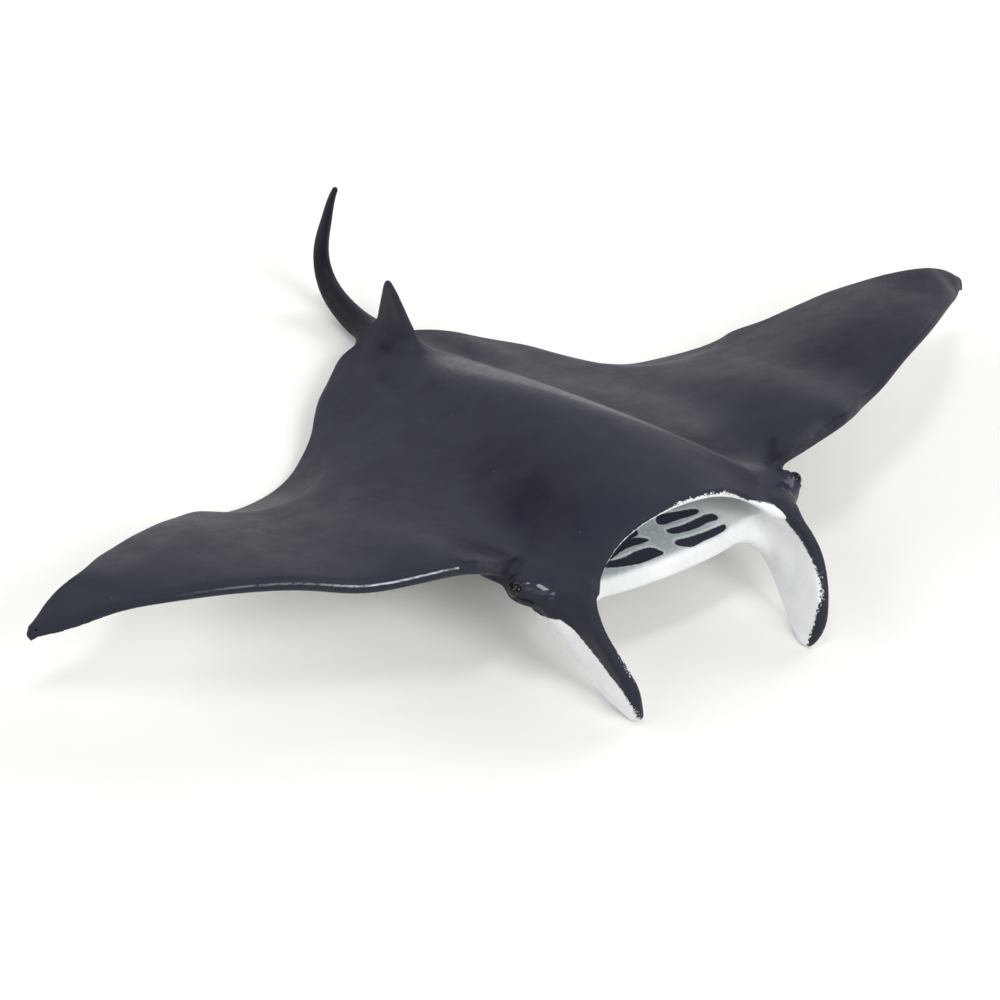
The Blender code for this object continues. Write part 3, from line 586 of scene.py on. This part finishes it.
# gloss varnish in front of each eye: a small pool beside it and a larger one, seen along
# the line from the eye to the hood's corner (u) and across it (v)
VARNISH_U = np.array([-0.815, 0.57, -0.08])
VARNISH_V = np.array([-0.60, -0.41, 0.69])
u, v = (np.stack([A, F, Z], 1) @ axis for axis in (VARNISH_U, VARNISH_V))
POOL = np.array([(25.2, 30.9, -1.8), (22.9, 31.6, -1.9), (20.6, 33.2, -1.5), (22.1, 34.5, -2.7), (23.0, 34.9, -4.4), (23.7, 34.3, -3.9),
                 (24.9, 33.1, -3.6), (24.8, 32.7, -3.0), (25.35, 32.4, -3.1), (25.8, 32.0, -3.0), (25.6, 31.3, -2.2)])
POOL = rounded_loop(np.stack([POOL @ VARNISH_U, POOL @ VARNISH_V], 1), 4)
varnish = np.full(len(X), -9.0)
there = (A > 17) & (A < 27.5) & (F > 28) & (F < 38) & (Z > -7.5) & (Z < 0.5) & (out + NZ > 0.2)
varnish[there] = -inside_outline(u[there], v[there], POOL)
attribute(skin_ob, "varnish", varnish)
attribute(skin_ob, "shine", np.where(X < 0, 1.0, 0.15))       # the left pool has gone dull

# airbrushed navy on the shoulders and wings, partly painted shade where they slope away from the light, and painted
# shade in the folds round the tail
def patch(x, f, sx, sf, turned=0.0):
    c, s = math.cos(turned), math.sin(turned)
    u, v = (X - x) * c + (F - f) * s, -(X - x) * s + (F - f) * c
    return np.exp(-(u / sx) ** 2 - (v / sf) ** 2)


navy_and_painted_shade = 0.0
for side in (-1, 1):
    navy_and_painted_shade = navy_and_painted_shade + 1.25 * patch(side * 15.4, 18.8, 5.0, 7.5) + 0.55 * patch(side * 12.5, 4.0, 5.0, 9.5)
    navy_and_painted_shade = navy_and_painted_shade + 0.5 * patch(side * 7.8, -34.5, 2.4, 3.4) + 0.45 * patch(side * 4.9, -22.9, 1.1, 2.6)
    navy_and_painted_shade = navy_and_painted_shade + 0.95 * patch(side * 2.4, -40.8, 1.4, 2.4) + 0.35 * patch(side * 13.0, 29.0, 4.0, 5.0)
navy_and_painted_shade = navy_and_painted_shade + 0.70 * patch(53.0, 12.0, 18.0, 9.0) + 0.80 * patch(80.0, 4.0, 11.0, 8.0)
navy_and_painted_shade = navy_and_painted_shade + 0.38 * patch(-28.5, 3.2, 10.0, 14.0) + 0.28 * patch(-62.0, 1.0, 14.0, 8.0)
navy_and_painted_shade = navy_and_painted_shade + 0.40 * patch(-15.5, -32.0, 6.0, 7.0) + 0.60 * patch(-29.6, 25.5, 5.5, 3.5)
# painted shade along the left brow, and the painted shadow of the brow crease on both sides
navy_and_painted_shade = navy_and_painted_shade + 0.8 * np.exp(-(line_distance(X, F, Z, [(23.9, 26.9, -0.9), (26.5, 27.8, 0.3), (29.3, 28.7, 1.5), (32.0, 29.8, 3.0)]) / 0.7) ** 2)
brow_shadow = line_distance(A, F, Z, [(26.6, 24.9, 1.2), (25.9, 25.7, 0.75), (25.2, 26.4, 0.25), (24.2, 26.8, -0.4), (23.4, 27.1, -1.1)])
navy_and_painted_shade = navy_and_painted_shade + 0.8 * np.exp(-(brow_shadow / 0.8) ** 2)
# painted shade in the creases over the eye, its branch and the wing's root
crease = np.minimum(line_distance(A, F, Z, BROW), line_distance(A, F, Z, BRANCH) + 0.12)
crease = np.minimum(crease, line_distance(A, F, Z, ROOT) + 0.1)
slit = line_distance(A, F, Z, SLIT)
navy_and_painted_shade = navy_and_painted_shade + 0.85 * np.exp(-(crease / 0.30) ** 2)
attribute(skin_ob, "navy_and_painted_shade", np.clip(navy_and_painted_shade, 0, 1) * (NZ > -0.6) * (white < 0))
# painted highlight, in lighter streaks, over the ridge of the back, the left shoulder and the right hump, only where
# the skin faces up
above = ease((NZ - 0.2) / 0.4)
CREST = [(-1.5, -30.0, 5.5), (-0.7, -20.0, 7.0), (0.2, -10.8, 8.3), (2.0, -2.8, 8.7), (4.6, 5.0, 8.3), (8.3, 13.0, 6.8), (12.2, 17.5, 4.8),
         (15.8, 24.0, 2.3), (19.0, 26.0, 0.6), (22.1, 27.1, -1.0)]
crest = line_distance(X, F, Z, CREST)
along_back = ease((F + 33) / 12) * (0.40 + 0.60 * ease((19 - F) / 9))
crest = np.minimum(crest, line_distance(X + 0.9, F, Z, CREST) + 0.15)
painted_highlight = (1.0 * np.exp(-(crest / 1.05) ** 2) + 0.40 * np.exp(-(crest / 2.8) ** 2)) * along_back
shoulder = line_distance(X, F, Z, [(9.5, -21.0, 2.4), (12.5, -14.7, 1.7), (17.8, -8.2, 0.9), (22.0, 0.9, 0.8), (22.3, 11.7, 0.8)])
painted_highlight = painted_highlight + 0.30 * np.exp(-(shoulder / 4.0) ** 2)
painted_highlight = painted_highlight + 0.42 * patch(-45.0, -18.0, 10.0, 3.4) + 0.20 * patch(-58.0, -13.5, 9.0, 2.4)
# painted highlight over the shade between the wing's root and the eye
brow_light = line_distance(A, F, Z, [(32.0, 29.8, 3.0), (29.6, 29.2, 1.5), (27.8, 28.8, -0.4), (27.3, 28.8, -2.6)])
attribute(skin_ob, "painted_highlight", np.clip(np.clip(painted_highlight, 0, 1) * above + 0.30 * np.exp(-(brow_light / 1.5) ** 2), 0, 1))
attribute(skin_ob, "slit", slit)
tail_dark = np.clip((-F - 44) / 8, 0, 1) * (1 - 0.5 * ease((Z - 8) / 10))
attribute(skin_ob, "tail", tail_dark)

# the mould's parting line along the front edge of the right wing, where the paint is rubbed
seam = np.where(X < -36.3, np.abs(Z - (FRONT_LEVEL(A) + 0.20)), 9) + np.maximum(FRONT_EDGE(A) - 1.4 - F, 0) * 2
attribute(skin_ob, "rubbed", ease((58 - A) / 12) * 0.75 + ease((76 - A) / 14) * 0.25)
attribute(skin_ob, "seam", seam)

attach(skin_ob, "root")
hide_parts("head", "trunk", "lower_jaw", "wing_left", "wing_right",
            "cephalic_fin_left", "cephalic_fin_right", "dorsal_fin", "tail_base", "tail_tip")


# ------------------------------------------------------------------ eyes
def make_eye(name, side):
    """A ball with a slightly raised cornea over the pupil; its axis looks out and forward."""
    n_ring, n_seg = ((40, 56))
    axis = turn((side * EYE_LOOK[0], EYE_LOOK[1], EYE_LOOK[2])).normalized()
    at = Vector(place((side * EYE_AT[0], EYE_AT[1], EYE_AT[2]))[0])
    frame_ = axis.to_track_quat('Z', 'Y').to_matrix()
    bm = bmesh.new()
    gaze = []
    rings = []
    for i in range(n_ring + 1):
        t = math.pi * i / n_ring
        r = EYE_RADIUS * (1 + 0.035 * math.exp(-(t / 0.45) ** 2))
        ring = []
        for j in range(n_seg if 0 < i < n_ring else 1):
            u = 2 * math.pi * j / n_seg
            p = Vector((math.sin(t) * math.cos(u), math.sin(t) * math.sin(u), math.cos(t))) * r * MM
            ring.append(bm.verts.new(at + frame_ @ p))
            gaze.append(t * math.hypot(math.cos(u), math.sin(u) / 1.9) if t < 1.0 else t)
        rings.append(ring)
    for a, b in zip(rings[:-1], rings[1:]):
        for j in range(n_seg):
            k = (j + 1) % n_seg
            ids = [a[j % len(a)], b[j % len(b)], b[k % len(b)], a[k % len(a)]]
            ids = [v for i, v in enumerate(ids) if v not in ids[:i]]
            bm.faces.new(ids)
    bmesh.ops.recalc_face_normals(bm, faces=bm.faces)
    me = bpy.data.meshes.new(name)
    bm.to_mesh(me)
    bm.free()
    me.shade_smooth()
    ob = bpy.data.objects.new(name, me)
    bpy.context.scene.collection.objects.link(ob)
    attribute(ob, "gaze", gaze)
    return ob


EYE_LOOK = (0.10, 0.84, 0.52)
eyes = []
for name, side in (("left", 1), ("right", -1)):
    eye = make_eye("eye_ball_" + name, side)
    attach(eye, "root")
    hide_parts("eye_" + name)
    eyes.append(eye)


# ------------------------------------------------------------------ materials
class Tree:
    """Short spelling for a material's nodes."""

    def __init__(self, name):
        self.m = bpy.data.materials.new(name)
        self.m.use_nodes = True
        self.t = self.m.node_tree
        self.shader = self.t.nodes["Principled BSDF"]

    def node(self, kind, **inputs):
        n = self.t.nodes.new(kind)
        for k, v in inputs.items():
            self.put(n, k, v)
        return n

    def put(self, n, key, v):
        key = {"_0": 0, "_1": 1, "_2": 2}.get(key, key)
        s = n.inputs[key]
        if isinstance(v, bpy.types.NodeSocket):
            self.t.links.new(v, s)
        else:
            s.default_value = v

    def attr(self, name):
        n = self.t.nodes.new("ShaderNodeAttribute")
        n.attribute_name = name
        return n.outputs["Fac"]

    def math(self, op, a, b=0.0, clamp=False):
        n = self.t.nodes.new("ShaderNodeMath")
        n.operation = op
        n.use_clamp = clamp
        self.put(n, "_0", a)
        self.put(n, "_1", b)
        return n.outputs[0]

    def ramp(self, v, lo, hi, out_lo=0.0, out_hi=1.0, smooth=True):
        n = self.t.nodes.new("ShaderNodeMapRange")
        n.interpolation_type = 'SMOOTHSTEP' if smooth else 'LINEAR'
        for k, x in (("Value", v), ("From Min", lo), ("From Max", hi), ("To Min", out_lo), ("To Max", out_hi)):
            self.put(n, k, x)
        return n.outputs[0]

    def mix(self, f, a, b):
        n = self.t.nodes.new("ShaderNodeMix")
        n.data_type = 'RGBA'
        self.put(n, "_0", f)
        for i, v in ((6, a), (7, b)):
            if isinstance(v, bpy.types.NodeSocket):
                self.t.links.new(v, n.inputs[i])
            else:
                n.inputs[i].default_value = (*v, 1)
        return n.outputs[2]

    def mm(self):
        """Position on the piece in millimetres."""
        c = self.t.nodes.new("ShaderNodeTexCoord")
        n = self.t.nodes.new("ShaderNodeVectorMath")
        n.operation = 'SCALE'
        self.t.links.new(c.outputs["Object"], n.inputs[0])
        n.inputs["Scale"].default_value = 1000
        return n.outputs[0]

    def noise(self, where, per_mm, detail=2.0, rough=0.5, stretch=None):
        if stretch is not None:
            n = self.t.nodes.new("ShaderNodeVectorMath")
            n.operation = 'MULTIPLY'
            self.t.links.new(where, n.inputs[0])
            n.inputs[1].default_value = stretch
            where = n.outputs[0]
        n = self.node("ShaderNodeTexNoise", Vector=where, Scale=per_mm, Detail=detail, Roughness=rough)
        return n.outputs["Fac"]


def painted_skin():
    # the toy's paint, with painted shade and painted highlights
    t = Tree("hand_painted_skin_and_painted_light")
    at = t.mm()
    broad = t.noise(at, 0.045, 2.0)
    middle = t.noise(at, 0.25, 3.0)
    fine = t.noise(at, 1.6, 3.0)
    grain = t.noise(at, 5.0, 2.0)
    # slate, airbrushed over a darker coat
    slate = t.mix(t.ramp(broad, 0.35, 0.65), (0.0200, 0.0220, 0.0350), (0.0240, 0.0262, 0.0385))
    slate = t.mix(t.ramp(middle, 0.35, 0.7, 0.0, 0.25), slate, (0.0165, 0.0178, 0.0310))
    slate = t.mix(t.ramp(grain, 0.45, 0.75, 0.0, 0.16), slate, (0.040, 0.042, 0.052))
    # airbrushed navy, and painted shade in the folds and creases
    slate = t.mix(t.math('MULTIPLY', t.attr("navy_and_painted_shade"), t.ramp(middle, 0.2, 0.7, 0.75, 1.0)), slate, (0.0048, 0.0056, 0.0165))
    slate = t.mix(t.math('MULTIPLY', t.attr("tail"), 0.9), slate, (0.0080, 0.0082, 0.0140))
    # painted highlight on the ridges, in streaks
    highlight_streaks = t.noise(at, 1.3, 3.0, 0.6, stretch=(1.0, 0.35, 1.0))
    painted_highlight = t.math('MULTIPLY', t.attr("painted_highlight"), t.ramp(highlight_streaks, 0.3, 0.65, 0.70, 1.0))
    slate = t.mix(painted_highlight, slate, (0.125, 0.128, 0.138))
    # light specks and pits
    cells = t.node("ShaderNodeTexVoronoi", Vector=at, Scale=0.30)
    speck = t.ramp(cells.outputs["Distance"], 0.02, 0.045, 1.0, 0.0)
    slate = t.mix(t.math('MULTIPLY', speck, 0.35), slate, (0.16, 0.16, 0.17))
    pits = t.node("ShaderNodeTexVoronoi", Vector=at, Scale=0.17)
    pit = t.ramp(pits.outputs["Distance"], 0.010, 0.045, 1.0, 0.0)
    slate = t.mix(t.math('MULTIPLY', pit, 0.8), slate, (0.004, 0.004, 0.006))
    # white, brushed thin in places
    pale = t.mix(t.ramp(middle, 0.35, 0.7), (0.82, 0.835, 0.84), (0.76, 0.785, 0.79))
    pale = t.mix(t.ramp(fine, 0.5, 0.8, 0.0, 0.18), pale, (0.62, 0.66, 0.68))
    # greyer inside the mouth, fading at the lip and to the left
    greyer_in_mouth = t.math('MULTIPLY', t.attr("mouth"), t.ramp(fine, 0.25, 0.7, 0.60, 1.0))
    pale = t.mix(greyer_in_mouth, pale, (0.42, 0.465, 0.485))
    # the brushed edge between them
    bristle = t.noise(at, 2.2, 4.0, 0.7)
    hair = t.noise(at, 6.5, 2.0, 0.6)
    ragged = t.math('ADD', t.ramp(bristle, 0.3, 0.7, -0.50, 0.50, smooth=False),
                    t.ramp(hair, 0.3, 0.7, -0.32, 0.32, smooth=False))
    edge = t.math('ADD', t.attr("white"), t.math('MULTIPLY', ragged, t.attr("brush")))
    is_white = t.ramp(edge, -0.05, 0.05)
    colour = t.mix(is_white, slate, pale)
    # the slit below the eye
    colour = t.mix(t.ramp(t.attr("slit"), 0.26, 0.42, 1.0, 0.0), colour, (0.002, 0.002, 0.003))
    # rubbed parting line
    rub = t.math('MULTIPLY', t.ramp(t.attr("seam"), 0.08, 0.24, 1.0, 0.0), t.ramp(t.noise(at, 0.8, 3.0), 0.30, 0.52, 0.25, 1.0))
    colour = t.mix(t.math('MULTIPLY', t.math('MULTIPLY', rub, t.attr("rubbed")), t.math('SUBTRACT', 1.0, is_white)), colour, (0.50, 0.53, 0.58))
    # bars in the mouth, with a pale brushed outline
    bar = t.math('ADD', t.attr("bar"), t.ramp(hair, 0.3, 0.7, -0.08, 0.08, smooth=False))
    outline = t.math('MULTIPLY', t.ramp(bar, -0.55, -0.25), t.ramp(fine, 0.3, 0.65, 0.25, 0.9))
    colour = t.mix(outline, colour, (0.70, 0.735, 0.75))
    is_bar = t.ramp(bar, -0.05, 0.05)
    colour = t.mix(is_bar, colour, (0.034, 0.036, 0.055))
    # varnish
    gloss = t.ramp(t.math('ADD', t.attr("varnish"), t.ramp(bristle, 0.3, 0.7, -0.12, 0.12, smooth=False)), -0.12, 0.12)
    colour = t.mix(gloss, colour, (0.013, 0.0145, 0.033))
    t.put(t.shader, "Base Color", colour)
    rough = t.ramp(middle, 0.3, 0.7, 0.47, 0.54)
    rough = t.math('ADD', rough, t.ramp(grain, 0.3, 0.7, -0.03, 0.05))
    rough = t.math('ADD', rough, t.math('MULTIPLY', is_white, 0.06))
    rough = t.math('ADD', t.math('MULTIPLY', rough, t.math('SUBTRACT', 1.0, gloss)), t.math('MULTIPLY', gloss, 0.30))
    t.put(t.shader, "Roughness", rough)
    t.shader.inputs["Specular IOR Level"].default_value = 0.13
    t.put(t.shader, "Coat Weight", t.math('MULTIPLY', gloss, t.attr("shine")))
    t.shader.inputs["Coat Roughness"].default_value = 0.07
    # relief finer than the skin's mesh: paint thickness, orange peel, pits
    height = t.math('MULTIPLY', grain, 0.012)
    height = t.math('ADD', height, t.math('MULTIPLY', fine, 0.022))
    height = t.math('ADD', height, t.math('MULTIPLY', is_white, 0.020))
    height = t.math('SUBTRACT', height, t.math('MULTIPLY', pit, 0.08))
    height = t.math('ADD', height, t.math('MULTIPLY', t.ramp(t.attr("seam"), 0.0, 0.35, 1.0, 0.0), 0.05))
    height = t.math('MULTIPLY', height, t.math('SUBTRACT', 1.0, t.math('MULTIPLY', gloss, 0.8)))
    bump = t.node("ShaderNodeBump", Height=height, Distance=0.001)
    bump.inputs["Strength"].default_value = 0.8
    t.put(t.shader, "Normal", bump.outputs[0])
    return t.m


def eye_gloss():
    t = Tree("painted_eye")
    at = t.mm()
    streak = t.noise(at, 2.2, 3.0)
    g = t.math('ADD', t.attr("gaze"), t.ramp(streak, 0.3, 0.7, -0.05, 0.05, smooth=False))
    iris = t.mix(t.ramp(streak, 0.35, 0.65), (0.014, 0.0145, 0.010), (0.009, 0.0095, 0.007))
    iris = t.mix(t.ramp(g, 0.50, 0.66, 0.5, 0.0), iris, (0.032, 0.030, 0.012))
    colour = t.mix(t.ramp(g, 0.38, 0.46), (0.002, 0.002, 0.003), iris)
    colour = t.mix(t.ramp(g, 1.30, 1.60), colour, (0.012, 0.012, 0.014))
    t.put(t.shader, "Base Color", colour)
    t.put(t.shader, "Roughness", t.ramp(streak, 0.3, 0.7, 0.04, 0.10))
    t.shader.inputs["Specular IOR Level"].default_value = 0.30
    return t.m


paint = painted_skin()
skin_ob.data.materials.append(paint)
glossy = eye_gloss()
for eye in eyes:
    eye.data.materials.append(glossy)

# ------------------------------------------------------------------ floor, light, camera
floor_mesh = bpy.data.meshes.new("floor")
floor_mesh.from_pydata([(-3, -3, 0), (3, -3, 0), (3, 3, 0), (-3, 3, 0)], [], [(0, 1, 2, 3)])
floor = bpy.data.objects.new("floor", floor_mesh)
bpy.context.scene.collection.objects.link(floor)
floor_paint = Tree("pale_floor")
sheet = floor_paint.noise(floor_paint.mm(), 0.004, 2.0)
floor_paint.put(floor_paint.shader, "Base Color",
                floor_paint.mix(floor_paint.ramp(sheet, 0.3, 0.7), (0.82, 0.82, 0.795), (0.835, 0.835, 0.81)))
floor_paint.shader.inputs["Roughness"].default_value = 0.9
floor_paint.shader.inputs["Specular IOR Level"].default_value = 0.1
floor_mesh.materials.append(floor_paint.m)


def softbox(name, at, aim, wide, tall, watts, colour=(1, 1, 1)):
    light = bpy.data.lights.new(name, 'AREA')
    light.shape = 'RECTANGLE'
    light.size, light.size_y = wide, tall
    light.energy = watts
    light.color = colour
    ob = bpy.data.objects.new(name, light)
    ob.location = at
    ob.rotation_mode = 'QUATERNION'
    ob.rotation_quaternion = (Vector(aim) - Vector(at)).to_track_quat('-Z', 'Y')
    bpy.context.scene.collection.objects.link(ob)
    return ob


# The lights stand round the camera's line of sight: (to its right, beyond the figure, up).
ASIDE = Vector((0.8207, -0.5714, 0.0))
BEYOND = Vector((-ASIDE.y, ASIDE.x, 0.0))
if BEYOND.y < 0:
    BEYOND = -BEYOND


def stand(aside, beyond, up):
    return ASIDE * aside + BEYOND * beyond + Vector((0, 0, up))


for name, where_, wide, tall, watts in (
        ("softbox_back", (0.0, 1.3, 0.9), 1.4, 0.8, 2.4),
        ("softbox_back_left", (-1.1, 1.0, 0.9), 0.9, 0.7, 2.1),
        ("softbox_back_right", (1.1, 1.0, 0.9), 0.9, 0.7, 9.8),
        ("softbox_left", (-1.3, 0.0, 0.8), 1.0, 0.8, 7.4),
        ("softbox_front_left", (-0.9, -0.9, 0.9), 0.7, 0.7, 3.7),
        ("softbox_front_right", (0.9, -0.9, 0.9), 0.7, 0.7, 11.8),
        ("softbox_front", (0.0, -0.9, 1.2), 0.9, 0.6, 0.8),
        ("strip_above", (-0.17, -0.22, 1.25), 0.22, 0.62, 3.0),
        ("low_wall", (0.0, 1.9, 0.35), 3.0, 0.7, 3.7)):
    softbox(name, stand(*where_), (0, 0, 0.01), wide, tall, watts)

world_ = bpy.data.worlds.new("studio")
world_.use_nodes = True
world_.node_tree.nodes["Background"].inputs[0].default_value = (1.0, 1.0, 0.99, 1)
world_.node_tree.nodes["Background"].inputs[1].default_value = 0.375
bpy.context.scene.world = world_
bpy.context.scene.view_settings.view_transform = 'Standard'

# the camera, from a lens 108 mm long on a 36 mm sensor, 473 mm from the wings' middle
RIGHT = (0.81846149, 0.57203208, -0.05385256)
UP = (0.30913875, -0.35942387, 0.88048152)
BACK = (-0.48430778, 0.73728813, 0.47101188)
spot = np.array(BACK) * 473.065 - np.array(RIGHT) * 6.409 - np.array(UP) * 8.941
cam = bpy.data.cameras.new("camera")
cam.lens, cam.sensor_width = 108.0, 36.0
cam.clip_start, cam.clip_end = 0.01, 20.0
cam_ob = bpy.data.objects.new("camera", cam)
m = Matrix.Identity(4)
for i, axis in enumerate((RIGHT, UP, BACK)):
    v = turn(axis).normalized()
    for k in range(3):
        m[k][i] = v[k]
where = place(spot)[0]
for k in range(3):
    m[k][3] = where[k]
cam_ob.matrix_world = m
bpy.context.scene.collection.objects.link(cam_ob)
bpy.context.scene.camera = cam_ob
